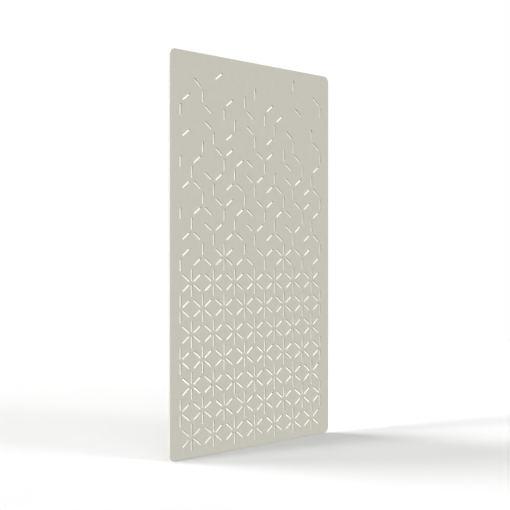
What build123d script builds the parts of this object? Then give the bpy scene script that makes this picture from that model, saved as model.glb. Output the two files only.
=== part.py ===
from build123d import *
from math import cos, hypot, radians, sin
import os

# Hanging acoustic screen: one sheet of pressed felt, pierced by slots and hung by two threaded inserts.
# Sizes are in millimetres. +X runs along the width, +Y towards the back and +Z up.
# The origin is on the top edge, half way along it and half way through the sheet.

# Felt sheet
sheet_width = 1200
sheet_height = 2070
sheet_thickness = 9
corner_radius = 35

# Slots
slot_length = 58
slot_width = 10
slot_slope = 37          # of the slanting slots, in degrees from level
column_pitch = 75.8
row_pitch = 131.25       # between the points of one column that carry stars
fork_rise = 50           # from a star up to the point that the slanting slots beside it lead to
bottom_land = 34.5       # felt under the lowest slots
edge_land = 20           # least felt between any slot and an edge or an insert hole

# Threaded inserts in the top edge
insert_spacing = 900
insert_diameter = 6
insert_length = 20
insert_chamfer = 0.6
thread_diameter = 3.3    # inside an M4 thread
groove_depth = 0.4
groove_width = 1.2
groove_count = 5
glue_gap = 0.1           # between an insert and the wall of its hole
glue_well = 2            # room under an insert

# The slot pattern: columns of lattice points are numbered from the left and rows from the bottom.
# The slots round a point are named by the clock hand along which they lie.
hands = {12: (0, 1), 2: (1, 1), 4: (1, -1), 6: (0, -1), 8: (-1, -1), 10: (-1, 1)}     # across and up
hand_pairs = {90: (12, 6), slot_slope: (2, 8), -slot_slope: (4, 10)}     # slot angle and its two hands
last_column = 14

star = (12, 2, 4, 6, 8, 10)
fork = (10, 2, 6)
prop = (12, 4, 8)
star_rows = 7            # the lowest rows hold whole stars
fork_rows = 4            # the rows above them hold forks and props by turns
late_stars = [(7, 4), (7, 10)]     # (row, column) of the last two stars, among the forks
short_forks = {(9, 0): (6,)}       # a fork that keeps only one hand

# Towards the top the pattern thins out, and each point keeps only these hands
thinning_rows = {
    11: {0: (6,), 2: (12, 8), 4: fork, 6: (4, 8), 8: fork, 10: (12, 4), 12: (10, 6), 14: (12, 8)},
    12: {1: (8,), 3: (10, 6), 5: (12, 8), 7: (10, 6), 9: (12, 8), 11: (10, 6), 13: (12, 4)},
    13: {0: (2, 6), 2: (12, 4), 4: (2, 6), 6: (12, 4), 8: (2, 6), 10: (8,), 12: (10,), 14: (12,)},
    14: {1: (4,), 3: (2,), 7: (6,), 11: (12,), 13: (4,)},
}

# Sizes that follow from the ones above
upright_step = row_pitch - fork_rise
first_row_height = bottom_land + slot_length / 2 + upright_step / 2
hole_diameter = insert_diameter + 2 * glue_gap
hole_depth = insert_length + glue_well


def hands_at(row, column):
    """The clock hands that carry a slot at one point of the pattern."""
    if row in thinning_rows:
        return thinning_rows[row].get(column, ())
    if row < star_rows or (row, column) in late_stars:
        return star
    if (row, column) in short_forks:
        return short_forks[row, column]
    return fork if column % 4 in (0, 3) else prop


def slot_fits(x, z, angle):
    """True where a slot lies wholly on the sheet, clear of its edges, corners and insert holes."""
    reach_x = (slot_length * abs(cos(radians(angle))) + slot_width * abs(sin(radians(angle)))) / 2
    reach_z = (slot_length * abs(sin(radians(angle))) + slot_width * abs(cos(radians(angle)))) / 2
    top = z + reach_z
    bottom = z - reach_z + sheet_height
    corner = max(corner_radius, edge_land)
    into_side = max(abs(x) + reach_x - (sheet_width / 2 - corner), 0)
    into_end = max(top + corner, corner - bottom, 0)
    return top <= -hole_depth - edge_land and hypot(into_side, into_end) <= corner - edge_land


def slot_centres(angle):
    """Places of all slots that run at one angle."""
    centres = []
    for row in range(star_rows + fork_rows + len(thinning_rows)):
        for column in range(1 - row % 2, last_column + 1, 2):
            for hand in hands_at(row, column):
                step_x, way_up = hands[hand]
                climb = fork_rise if step_x else upright_step
                across = column + step_x / 2
                x = (across - last_column / 2) * column_pitch
                z = first_row_height + row * row_pitch + way_up * climb / 2 - sheet_height
                if hand in hand_pairs[angle] and 0 <= across <= last_column and slot_fits(x, z, angle):
                    centres.append((x, z))
    return centres


# The sheet, cut to its outline and slots in one go, with a blind hole for each insert in its top edge
with BuildPart() as felt_panel:
    with BuildSketch(Plane.XZ.offset(-sheet_thickness / 2)):
        with Locations((0, -sheet_height / 2)):
            RectangleRounded(sheet_width, sheet_height, corner_radius)
        for angle in hand_pairs:
            with Locations(*slot_centres(angle)):
                Rectangle(slot_length, slot_width, rotation=angle, mode=Mode.SUBTRACT)
    extrude(amount=sheet_thickness)
    with GridLocations(insert_spacing, 0, 2, 1):
        Hole(hole_diameter / 2, depth=hole_depth)
felt_panel.part.label = "felt_panel"

# The two inserts, turned sleeves with grooves round them that hold the glue
with BuildPart() as hanging_inserts:
    with BuildSketch(Plane.XZ) as sleeve:
        with Locations((insert_spacing / 2 + thread_diameter / 2, 0)):
            Rectangle(
                (insert_diameter - thread_diameter) / 2, insert_length, align=(Align.MIN, Align.MAX)
            )
        chamfer(sleeve.vertices().group_by(Axis.X)[-1], insert_chamfer)
        groove_pitch = insert_length / (groove_count + 1)
        grooves = [-groove_pitch * (i + 1) for i in range(groove_count)]
        with Locations(*[((insert_spacing + insert_diameter) / 2, z) for z in grooves]):
            Rectangle(2 * groove_depth, groove_width, mode=Mode.SUBTRACT)
    revolve(axis=Axis((insert_spacing / 2, 0, 0), (0, 0, 1)))
    mirror(about=Plane.YZ)
hanging_inserts.part.label = "hanging_inserts"

os.makedirs("parts", exist_ok=True)
export_step(felt_panel.part, "parts/felt_panel.step")
export_step(hanging_inserts.part, "parts/hanging_inserts.step")
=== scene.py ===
from math import cos, pi, radians, sin, tau
import bpy
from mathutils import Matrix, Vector, noise
from mathutils.geometry import delaunay_2d_cdt


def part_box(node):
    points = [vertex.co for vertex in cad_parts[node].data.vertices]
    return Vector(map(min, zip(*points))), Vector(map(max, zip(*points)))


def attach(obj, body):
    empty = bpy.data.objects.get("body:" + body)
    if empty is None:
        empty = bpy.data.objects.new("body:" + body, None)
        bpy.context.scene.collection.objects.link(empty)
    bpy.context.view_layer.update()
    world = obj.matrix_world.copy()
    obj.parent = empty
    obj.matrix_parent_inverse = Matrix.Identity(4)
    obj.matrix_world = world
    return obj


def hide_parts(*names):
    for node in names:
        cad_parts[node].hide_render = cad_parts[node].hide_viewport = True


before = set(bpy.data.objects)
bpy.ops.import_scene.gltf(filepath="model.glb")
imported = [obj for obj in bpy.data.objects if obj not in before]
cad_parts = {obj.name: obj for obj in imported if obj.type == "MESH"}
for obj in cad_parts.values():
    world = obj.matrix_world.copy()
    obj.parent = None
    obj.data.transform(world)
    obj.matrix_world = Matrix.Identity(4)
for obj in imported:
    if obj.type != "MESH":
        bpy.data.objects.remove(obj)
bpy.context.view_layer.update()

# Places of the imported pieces, in metres
panel_low, panel_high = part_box("felt_panel")
insert_low, insert_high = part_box("hanging_inserts")
panel_width = panel_high.x - panel_low.x
panel_height = panel_high.z - panel_low.z
front_y, back_y = panel_low.y, panel_high.y
floor_gap = 0.001           # between the floor and the screen's lower edge
floor_z = panel_low.z - floor_gap


# Camera, level with the middle of the screen and turned half right, as in the photograph

image_px = 510
focal_px = 1003
sensor_width = 36
camera_side = 1.5585        # to the left of the screen's left edge, in screen heights
camera_back = 1.8579        # in front of its front face, in screen heights
camera_drop = 0.001         # below the screen's middle
view_direction = Vector((0.705, 0.709, 0))


def add_camera():
    data = bpy.data.cameras.new("camera")
    data.sensor_width = sensor_width
    data.lens = sensor_width * focal_px / image_px
    camera = bpy.data.objects.new("camera", data)
    camera.location = (
        panel_low.x - camera_side * panel_height,
        front_y - camera_back * panel_height,
        (panel_low.z + panel_high.z) / 2 - camera_drop,
    )
    camera.rotation_euler = view_direction.to_track_quat("-Z", "Y").to_euler()
    bpy.context.scene.collection.objects.link(camera)
    bpy.context.scene.camera = camera


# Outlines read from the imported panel

facing_front = -0.99        # a face whose normal's y is above this doesn't face the front
plane_slack = 1e-5          # how far from the front plane a face's centre may lie
weld_digits = 6             # decimals to which two corners count as one


def front_loops():
    """Outlines on the panel's front face, as points (x, z): the sheet's, then one for each slot."""
    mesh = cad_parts["felt_panel"].data
    edges = set()
    spot = {}
    for face in mesh.polygons:
        if face.normal.y > facing_front or abs(face.center.y - front_y) > plane_slack:
            continue
        corners = []
        for index in face.vertices:
            co = mesh.vertices[index].co
            place = (round(co.x, weld_digits), round(co.z, weld_digits))
            spot[place] = Vector((co.x, co.z))
            corners.append(place)
        edges.update(zip(corners, corners[1:] + corners[:1]))
    rim = {a: b for a, b in edges if (b, a) not in edges}
    loops = []
    while rim:
        start, here = rim.popitem()
        loop = [spot[start]]
        while here != start:
            loop.append(spot[here])
            here = rim.pop(here)
        loops.append(loop)
    return sorted(loops, key=lambda loop: (-len(loop), loop[0].x, loop[0].y))


# Felt sheet, with soft cut edges

edge_round = 0.0006
edge_steps = 2
slot_corner = 0.0012
slot_corner_steps = 3
face_wave = 0.00010         # how far the two faces swell and sink
face_wave_size = 0.09
face_wave_margin = 0.03     # width of the rim over which the waves die away
face_wave_gap = 3           # between the two faces' places in the noise
face_grid = 0.030           # spacing of the points laid over the faces
grid_clearance = 0.006      # between those points and a slot's outline

# Holes for the inserts in the top edge
middle_y = (insert_low.y + insert_high.y) / 2
insert_radius = (insert_high.y - insert_low.y) / 2
insert_length = insert_high.z - insert_low.z
hole_places = [insert_low.x + insert_radius, insert_high.x - insert_radius]
hole_radius = insert_radius + 0.0001
hole_depth = insert_length + 0.002
hole_tip = 0.0005           # depth of the drill's cone below that
hole_steps = 48
hole_flare = 0.0002         # how much wider the hole's mouth is
hole_flare_depth = 0.0003
hole_patch = 0.006          # half the width of the piece of top edge that holds one hole
hole_slack = 1e-4           # how far that piece's middle may be from its hole
top_run = 0.5               # the top edge is the only run toward -x that is longer than this
top_band = 0.01             # points of the outline above this depth belong to the top edge


def slot_outline(loop, grow):
    """A slot's outline with rounded corners, grown by some distance into the felt."""
    points = []
    for i, corner in enumerate(loop):
        into = (loop[i - 1] - corner).normalized()
        out_of = (loop[(i + 1) % len(loop)] - corner).normalized()
        hub = corner + (into + out_of) * slot_corner
        for step in range(slot_corner_steps + 1):
            turn = pi / 2 * step / slot_corner_steps
            reach = out_of * cos(turn) + into * sin(turn)
            points.append(hub - reach * (slot_corner + grow))
    return points


def sheet_outline(loop, grow):
    """The sheet's outline, drawn in by some distance, with two points beside each insert hole."""
    patch_ends = [place + side * hole_patch for place in hole_places for side in (-1, 1)]
    points = []
    for i, here in enumerate(loop):
        after = loop[(i + 1) % len(loop)]
        along = (after - loop[i - 1]).normalized()
        points.append(here + Vector((-along.y, along.x)) * grow)
        if (after - here).x < -top_run:
            points += [Vector((x, here.y - grow)) for x in sorted(patch_ends, reverse=True)]
    return points


def edge_profile():
    """(y, how far the outline has grown into the felt), from the front face round to the back."""
    rounding = []
    for step in range(edge_steps + 1):
        turn = pi / 2 * step / edge_steps
        rounding.append((edge_round * (1 - cos(turn)), edge_round * (1 - sin(turn))))
    front = [(front_y + depth, grow) for depth, grow in rounding]
    back = [(back_y - depth, grow) for depth, grow in reversed(rounding)]
    return front + back


def filled(loops, extra=()):
    """Counter-clockwise triangles between the first loop and the others, as point numbers."""
    points = [p for loop in loops for p in loop] + list(extra)
    edges = []
    owner = []
    for number, loop in enumerate(loops):
        start = len(owner)
        edges += [(start + i, start + (i + 1) % len(loop)) for i in range(len(loop))]
        owner += [number] * len(loop)
    owner += [0] * len(extra)
    places, _, faces, origins, _, _ = delaunay_2d_cdt(points, edges, [], 1, 1e-7)
    source = [origin[0] for origin in origins]
    triangles = []
    for face in faces:
        rings = {owner[source[i]] for i in face}
        if len(rings) == 1 and 0 not in rings:
            continue
        a, b, c = [places[i] for i in face]
        turn = (b - a).cross(c - a)
        triangles.append([source[i] for i in (face if turn > 0 else reversed(face))])
    return triangles


def face_points(loops):
    """A grid of points over the faces, clear of every slot."""
    cell = grid_clearance
    busy = set()
    for loop in loops[1:]:
        for a, b in zip(loop, loop[1:] + loop[:1]):
            steps = int((b - a).length / (cell / 2)) + 1
            for step in range(steps):
                p = a.lerp(b, step / steps)
                column, row = int(p.x // cell), int(p.y // cell)
                busy.update((column + i, row + j) for i in (-1, 0, 1) for j in (-1, 0, 1))
    points = []
    columns = int(panel_width / face_grid)
    rows = int(panel_height / face_grid)
    for i in range(1, columns):
        for j in range(1, rows):
            x = panel_low.x + panel_width * i / columns
            p = Vector((x, panel_low.z + panel_height * j / rows))
            if (int(p.x // cell), int(p.y // cell)) not in busy:
                points.append(p)
    return points


def face_swell(p, side):
    """How far a face stands out at a point: slow waves, which die away at the sheet's edges."""
    margin = min(p.x - panel_low.x, panel_high.x - p.x, p.y - panel_low.z, panel_high.z - p.y)
    wave = noise.noise(Vector((p.x, p.y, side * face_wave_gap)) / face_wave_size)
    return face_wave * wave * min(margin / face_wave_margin, 1)


def over_hole(a, b):
    """Whether the outline's run from a to b is the piece of top edge that holds an insert hole."""
    if a.y <= panel_high.z - top_band:
        return False
    return any(abs((a.x + b.x) / 2 - place) < hole_slack for place in hole_places)


def add_panel():
    """The felt sheet: two faces, and the cut walls of its outline and slots between them."""
    loops = front_loops()
    profile = edge_profile()
    outlines = [sheet_outline, *[slot_outline] * (len(loops) - 1)]
    rings = [[make(loop, grow) for make, loop in zip(outlines, loops)] for _, grow in profile]
    grid = face_points(loops)
    outline_total = sum(len(loop) for loop in rings[0])

    def on_face(p, y, side):
        return (p.x, y + side * face_swell(p, side), p.y)

    verts = []
    for (y, _), ring in zip(profile, rings):
        side = -1 if y < (front_y + back_y) / 2 else 1
        verts += [on_face(p, y, side) for loop in ring for p in loop]
    front_grid = len(verts)
    verts += [on_face(p, front_y, -1) for p in grid]
    back_grid = len(verts)
    verts += [on_face(p, back_y, 1) for p in grid]

    last_ring = outline_total * (len(profile) - 1)
    faces = []
    for triangle in filled(rings[0], grid):
        front = [i if i < outline_total else i - outline_total + front_grid for i in triangle]
        back = [i + last_ring if i < outline_total else i - outline_total + back_grid
                for i in triangle]
        faces += [front, back[::-1]]
    face_total = len(faces)

    # The cut walls; the flat band of the top edge is left open round each insert hole
    middle = len(profile) // 2 - 1
    open_quads = []
    start = 0
    for number, loop in enumerate(rings[0]):
        for i, here in enumerate(loop):
            j = (i + 1) % len(loop)
            has_hole = number == 0 and over_hole(here, loop[j])
            for level in range(len(profile) - 1):
                a = level * outline_total + start + i
                b = level * outline_total + start + j
                quad = [b, a, a + outline_total, b + outline_total]
                (open_quads if has_hole and level == middle else faces).append(quad)
        start += len(loop)
    for quad in open_quads:
        add_insert_hole(verts, faces, quad)
    return new_piece("felt_sheet", verts, faces, [felt_face(), felt_edge()],
                     lambda i: int(i >= face_total))


def add_insert_hole(verts, faces, quad):
    """Closes the top edge round one insert hole and adds the hole's wall and floor."""
    corners = [Vector(verts[i]) for i in quad]
    centre = sum(corners, Vector()) / 4
    rims = []
    for radius, depth in ((hole_radius + hole_flare, 0), (hole_radius, hole_flare_depth),
                          (hole_radius, hole_depth)):
        rims.append(len(verts))
        for i in range(hole_steps):
            turn = tau * i / hole_steps
            x, y = centre.x + radius * cos(turn), centre.y + radius * sin(turn)
            verts.append((x, y, centre.z - depth))
    border = [Vector((c.x, c.y)) for c in corners]
    names = list(quad)
    if sum(a.cross(b) for a, b in zip(border, border[1:] + border[:1])) < 0:
        border.reverse()
        names.reverse()
    circle = [Vector(verts[rims[0] + i][:2]) for i in range(hole_steps)]
    names += [rims[0] + i for i in range(hole_steps)]
    for triangle in filled([border, circle]):
        faces.append([names[i] for i in triangle])
    for upper, lower in zip(rims, rims[1:]):
        for i in range(hole_steps):
            j = (i + 1) % hole_steps
            faces.append([upper + i, upper + j, lower + j, lower + i])
    tip = len(verts)
    verts.append((centre.x, centre.y, centre.z - hole_depth - hole_tip))
    for i in range(hole_steps):
        faces.append([rims[-1] + i, rims[-1] + (i + 1) % hole_steps, tip])


def new_piece(name, verts, faces, materials, slot_of=lambda i: 0):
    """A mesh object of the given faces, with a material index for each face."""
    mesh = bpy.data.meshes.new(name)
    mesh.from_pydata([tuple(v) for v in verts], [], faces)
    for material in materials:
        mesh.materials.append(material)
    mesh.polygons.foreach_set("material_index", [slot_of(i) for i in range(len(faces))])
    piece = bpy.data.objects.new(name, mesh)
    bpy.context.scene.collection.objects.link(piece)
    return piece


# Threaded inserts, turned from brass with a cut thread and knurled bands between the glue grooves

insert_steps = 48
bore_minor = 0.00165
thread_pitch = 0.0007
thread_depth = 0.00035
thread_rows = 6             # rings of points to one turn of the thread
thread_steepness = 1.4      # of a flank, against a thread without flats
thread_root_flat = 0.2
mouth_depth = 0.0004        # lead-in at each end of the thread
outer_chamfer = 0.0005
knurl_depth = 0.00010
knurl_start = 0.0001        # from the chamfer to the first knurled ring
groove_total = 5
groove_pitch = insert_length / (groove_total + 1)
groove_cut = 0.0004
groove_width = 0.0012
groove_wall = 0.00004       # half the height over which a groove's wall falls


def bore_radius(z, step):
    """The thread's helix: a ridge that climbs one pitch a turn, with a wider mouth at the ends."""
    phase = (z / thread_pitch - step / insert_steps) % 1
    ridge = abs(2 * phase - 1)
    depth = thread_depth * min(max(ridge * thread_steepness - thread_root_flat, 0), 1)
    to_end = min(-z, z + insert_length)
    mouth = max(mouth_depth - to_end, 0)
    return bore_minor + depth * min(to_end / mouth_depth, 1) + mouth


def sleeve_radius(z, step):
    """The outside: knurled lands, smooth grooves between them, and a chamfer at both ends."""
    to_end = min(-z, z + insert_length)
    radius = insert_radius - max(outer_chamfer - to_end, 0)
    off_groove = abs((-z / groove_pitch + 0.5) % 1 - 0.5) * groove_pitch
    if off_groove < groove_width / 2 and to_end > groove_pitch / 2:
        return radius - groove_cut
    return radius - (knurl_depth if step % 2 and to_end > outer_chamfer else 0)


def sleeve_levels():
    """Heights of the rings of points down the outside, with a pair at each side of a groove."""
    levels = [0, -outer_chamfer, -outer_chamfer - knurl_start]
    for i in range(1, groove_total + 1):
        for side in (-1, 1):
            wall = side * groove_width / 2 - groove_pitch * i
            levels += [wall - groove_wall, wall + groove_wall]
    levels += [knurl_start + outer_chamfer - insert_length, outer_chamfer - insert_length,
               -insert_length]
    return sorted(set(levels), reverse=True)


def add_inserts():
    """Both sleeves: rings of points down the outside and back up the bore, closed to a ring."""
    bore_rings = round(insert_length / thread_pitch * thread_rows)
    bore_levels = [-insert_length * i / bore_rings for i in reversed(range(bore_rings + 1))]
    verts = []
    faces = []
    for place in hole_places:
        first_ring = len(verts)
        rings = []
        for levels, radius_of in ((sleeve_levels(), sleeve_radius), (bore_levels, bore_radius)):
            for z in levels:
                rings.append(len(verts))
                for i in range(insert_steps):
                    turn = tau * i / insert_steps
                    radius = radius_of(z, i)
                    x, y = place + radius * cos(turn), middle_y + radius * sin(turn)
                    verts.append((x, y, panel_high.z + z))
        rings.append(first_ring)
        for upper, lower in zip(rings, rings[1:]):
            for i in range(insert_steps):
                j = (i + 1) % insert_steps
                faces.append([upper + j, upper + i, lower + i, lower + j])
    return new_piece("brass_inserts", verts, faces, [brass()])


# Materials

class Nodes:
    """A small helper that builds the node tree of a material or a world."""

    def __init__(self, owner):
        owner.use_nodes = True
        self.owner = owner
        self.tree = owner.node_tree

    def add(self, kind, inputs=None, **settings):
        node = self.tree.nodes.new(kind)
        for key, value in settings.items():
            setattr(node, key, value)
        for key, value in (inputs or {}).items():
            self.put(value, node.inputs[key])
        return node

    def put(self, value, socket):
        """Links an output to a socket, or sets the socket's own value."""
        if isinstance(value, bpy.types.NodeSocket):
            self.tree.links.new(value, socket)
        else:
            socket.default_value = value

    def place(self, scale=(1, 1, 1)):
        """Object coordinates in metres, stretched."""
        coordinates = self.add("ShaderNodeTexCoord").outputs["Object"]
        mapping = self.add("ShaderNodeMapping", {"Vector": coordinates, "Scale": scale})
        return mapping.outputs["Vector"]

    def noise(self, where, scale, detail, roughness=0.55, distortion=0, kind="FBM"):
        inputs = {"Vector": where, "Scale": scale, "Detail": detail, "Roughness": roughness,
                  "Distortion": distortion}
        return self.add("ShaderNodeTexNoise", inputs, noise_type=kind).outputs["Fac"]

    def spread(self, value, low, high, to_low, to_high, kind="LINEAR"):
        """Maps low..high to to_low..to_high."""
        inputs = {"Value": value, "From Min": low, "From Max": high, "To Min": to_low,
                  "To Max": to_high}
        return self.add("ShaderNodeMapRange", inputs, interpolation_type=kind).outputs["Result"]

    def blend(self, share, first, second):
        node = self.add("ShaderNodeMix", data_type="RGBA")
        self.put(share, node.inputs[0])
        self.put(first, node.inputs[6])
        self.put(second, node.inputs[7])
        return node.outputs[2]

    def bump(self, height, distance, strength, base=None):
        inputs = {"Height": height, "Distance": distance, "Strength": strength}
        if base is not None:
            inputs["Normal"] = base
        return self.add("ShaderNodeBump", inputs).outputs["Normal"]

    def finish(self, **sockets):
        """Sets the sockets of the material's main shader, and gives the material."""
        shader = self.tree.nodes["Principled BSDF"]
        for key, value in sockets.items():
            self.put(value, shader.inputs[key.replace("_", " ")])
        return self.owner


felt_colour = (0.612, 0.595, 0.516)


def shade(factor, warmth=1.0):
    """The felt's colour made lighter or darker, and warmer or cooler."""
    r, g, b = felt_colour
    return (min(r * factor * warmth, 1), min(g * factor, 1), min(b * factor / warmth, 1), 1)


def felt_face():
    """Needled felt: fine crossing fibres, a few lighter and darker ones, and faint cloudiness."""
    n = Nodes(bpy.data.materials.new("felt_face"))
    here = n.place()
    clouds = n.noise(here, 26, 4)
    blotches = n.noise(here, 210, 3, 0.6, 0.4)
    fibres = n.noise(n.place((1, 0.6, 0.45)), 1500, 3, 0.6, 1.6, "RIDGED_MULTIFRACTAL")
    crossing = n.noise(n.place((0.45, 0.6, 1)), 1300, 3, 0.6, 1.8, "RIDGED_MULTIFRACTAL")
    grain = n.noise(here, 3400, 2, 0.6)
    base = n.blend(n.spread(clouds, 0.36, 0.64, 0, 1), shade(0.985, 1.002), shade(1.015, 0.998))
    base = n.blend(n.spread(blotches, 0.36, 0.66, 0, 0.45), base, shade(0.965, 1.004))
    base = n.blend(n.spread(fibres, 0.62, 1.15, 0, 0.42), base, shade(1.16, 0.997))
    base = n.blend(n.spread(crossing, 0.72, 1.25, 0, 0.36), base, shade(0.80, 1.01))
    base = n.blend(n.spread(grain, 0.35, 0.7, 0, 0.12), base, shade(1.1))
    rough = n.spread(blotches, 0.3, 0.7, 0.90, 0.98)
    normal = n.bump(n.noise(here, 130, 2), 0.0006, 0.16)
    normal = n.bump(fibres, 0.00012, 0.32, normal)
    normal = n.bump(crossing, 0.00012, 0.28, normal)
    return n.finish(Base_Color=base, Roughness=rough, Normal=normal, Specular_IOR_Level=0.12,
                    Sheen_Weight=0.08, Sheen_Roughness=0.6)


def felt_edge():
    """The cut through the felt's layers: fine lines along the cut, and a soft fuzz."""
    n = Nodes(bpy.data.materials.new("felt_edge"))
    here = n.place()
    layers = n.noise(n.place((0.16, 3.2, 0.16)), 900, 4, 0.65, 0.3)
    fuzz = n.noise(here, 2600, 3, 0.65, 0.8)
    patches = n.noise(here, 300, 2)
    base = n.blend(n.spread(layers, 0.34, 0.66, 0, 1), shade(0.94, 1.003), shade(1.08, 0.998))
    base = n.blend(n.spread(fuzz, 0.4, 0.7, 0, 0.5), base, shade(1.14))
    base = n.blend(n.spread(patches, 0.4, 0.7, 0, 0.3), base, shade(0.93, 1.004))
    rough = n.spread(fuzz, 0.3, 0.7, 0.92, 0.99)
    normal = n.bump(layers, 0.0002, 0.35)
    normal = n.bump(fuzz, 0.00015, 0.35, normal)
    return n.finish(Base_Color=base, Roughness=rough, Normal=normal, Specular_IOR_Level=0.08,
                    Sheen_Weight=0.1, Sheen_Roughness=0.6)


def brass():
    """Turned brass: rings of fine tool marks, a little tarnish, and clean rubbed spots."""
    n = Nodes(bpy.data.materials.new("brass"))
    here = n.place()
    marks = n.noise(n.place((1, 1, 26)), 260, 3, 0.6)
    tarnish = n.noise(here, 420, 4, 0.6, 0.5)
    specks = n.noise(here, 2600, 2)
    base = n.blend(n.spread(tarnish, 0.42, 0.72, 0, 0.55), (0.68, 0.49, 0.21, 1),
                   (0.42, 0.29, 0.12, 1))
    base = n.blend(n.spread(marks, 0.4, 0.7, 0, 0.3), base, (0.80, 0.62, 0.32, 1))
    rough = n.spread(tarnish, 0.35, 0.7, 0.24, 0.46)
    normal = n.bump(marks, 0.00006, 0.35)
    normal = n.bump(specks, 0.00003, 0.2, normal)
    return n.finish(Base_Color=base, Roughness=rough, Normal=normal, Metallic=1.0)


# Plain pale floor that fades into the white behind it, and soft studio light

white = (1, 1, 1, 1)
floor_size = 60
floor_albedo = 0.75
floor_fade = (4.5, 8.0)     # distance from the screen over which the floor becomes backdrop
sky_above = 0.25
sky_below = 0.11
sky_blend = 0.1             # half the height of the band in which they meet
lamps = [                   # name, degrees round from the camera's right, up, strength, spread
    ("side_low", 208, 8, 0.98, 18),
    ("key", 165, 46, 0.76, 30),
    ("back", 92, 26, 0.20, 36),
    ("front_low", 335, 10, 0.54, 26),
    ("front", 292, 28, 0.25, 44),
    ("top", 0, 56, 0.08, 40),
]


def sees_background(n):
    """1 for rays that should find the plain backdrop: the camera's, and off metal or in glass."""
    path = n.add("ShaderNodeLightPath").outputs
    first = n.add("ShaderNodeMath", {0: path["Is Camera Ray"], 1: path["Is Glossy Ray"]},
                  operation="ADD")
    both = n.add("ShaderNodeMath", {0: first.outputs[0], 1: path["Is Transmission Ray"]},
                 operation="ADD", use_clamp=True)
    return both.outputs[0]


def add_floor():
    n = Nodes(bpy.data.materials.new("pale_floor"))
    place = n.add("ShaderNodeNewGeometry").outputs["Position"]
    away = n.add("ShaderNodeVectorMath", {0: place, 1: (0, 0, floor_z)}, operation="DISTANCE")
    fade = n.spread(away.outputs["Value"], *floor_fade, 0, 1, "SMOOTHSTEP")
    matt = n.add("ShaderNodeBsdfDiffuse", {"Color": (floor_albedo,) * 3 + (1,), "Roughness": 0.5})
    backdrop = n.add("ShaderNodeEmission", {"Color": white, "Strength": 1.0})
    mix = n.add("ShaderNodeMixShader", {0: fade, 1: matt.outputs[0], 2: backdrop.outputs[0]})
    n.put(mix.outputs[0], n.tree.nodes["Material Output"].inputs["Surface"])
    half = floor_size / 2
    corners = [(x, y, floor_z) for x, y in ((-half, -half), (half, -half), (half, half),
                                            (-half, half))]
    floor = new_piece("floor", corners, [[0, 1, 2, 3]], [n.owner])
    floor.visible_diffuse = False
    floor.visible_shadow = False


def add_sky():
    """A soft light from all round, and plain white wherever the background itself is seen."""
    n = Nodes(bpy.data.worlds.new("studio"))
    bpy.context.scene.world = n.owner
    direction = n.add("ShaderNodeTexCoord").outputs["Generated"]
    height = n.add("ShaderNodeSeparateXYZ", {"Vector": direction}).outputs["Z"]
    soft = n.tree.nodes["Background"]
    n.put(white, soft.inputs["Color"])
    n.put(n.spread(height, -sky_blend, sky_blend, sky_below, sky_above), soft.inputs["Strength"])
    plain = n.add("ShaderNodeBackground", {"Color": white, "Strength": 1.0})
    mix = n.add("ShaderNodeMixShader",
                {0: sees_background(n), 1: soft.outputs[0], 2: plain.outputs[0]})
    n.put(mix.outputs[0], n.tree.nodes["World Output"].inputs["Surface"])


def add_lamps():
    rightward = Vector((view_direction.y, -view_direction.x, 0))
    for name, azimuth, elevation, strength, spread in lamps:
        level = rightward * cos(radians(azimuth)) + view_direction * sin(radians(azimuth))
        source = level * cos(radians(elevation)) + Vector((0, 0, sin(radians(elevation))))
        data = bpy.data.lights.new(name, "SUN")
        data.energy = strength * pi
        data.angle = radians(spread)
        lamp = bpy.data.objects.new(name, data)
        lamp.rotation_euler = source.to_track_quat("Z", "Y").to_euler()
        bpy.context.scene.collection.objects.link(lamp)


# The scene

add_camera()
sheet = add_panel()
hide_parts("felt_panel")
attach(sheet, "root")
inserts = add_inserts()
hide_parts("hanging_inserts")
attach(inserts, "root")
add_floor()
add_sky()
add_lamps()
bpy.context.scene.view_settings.view_transform = "Standard"
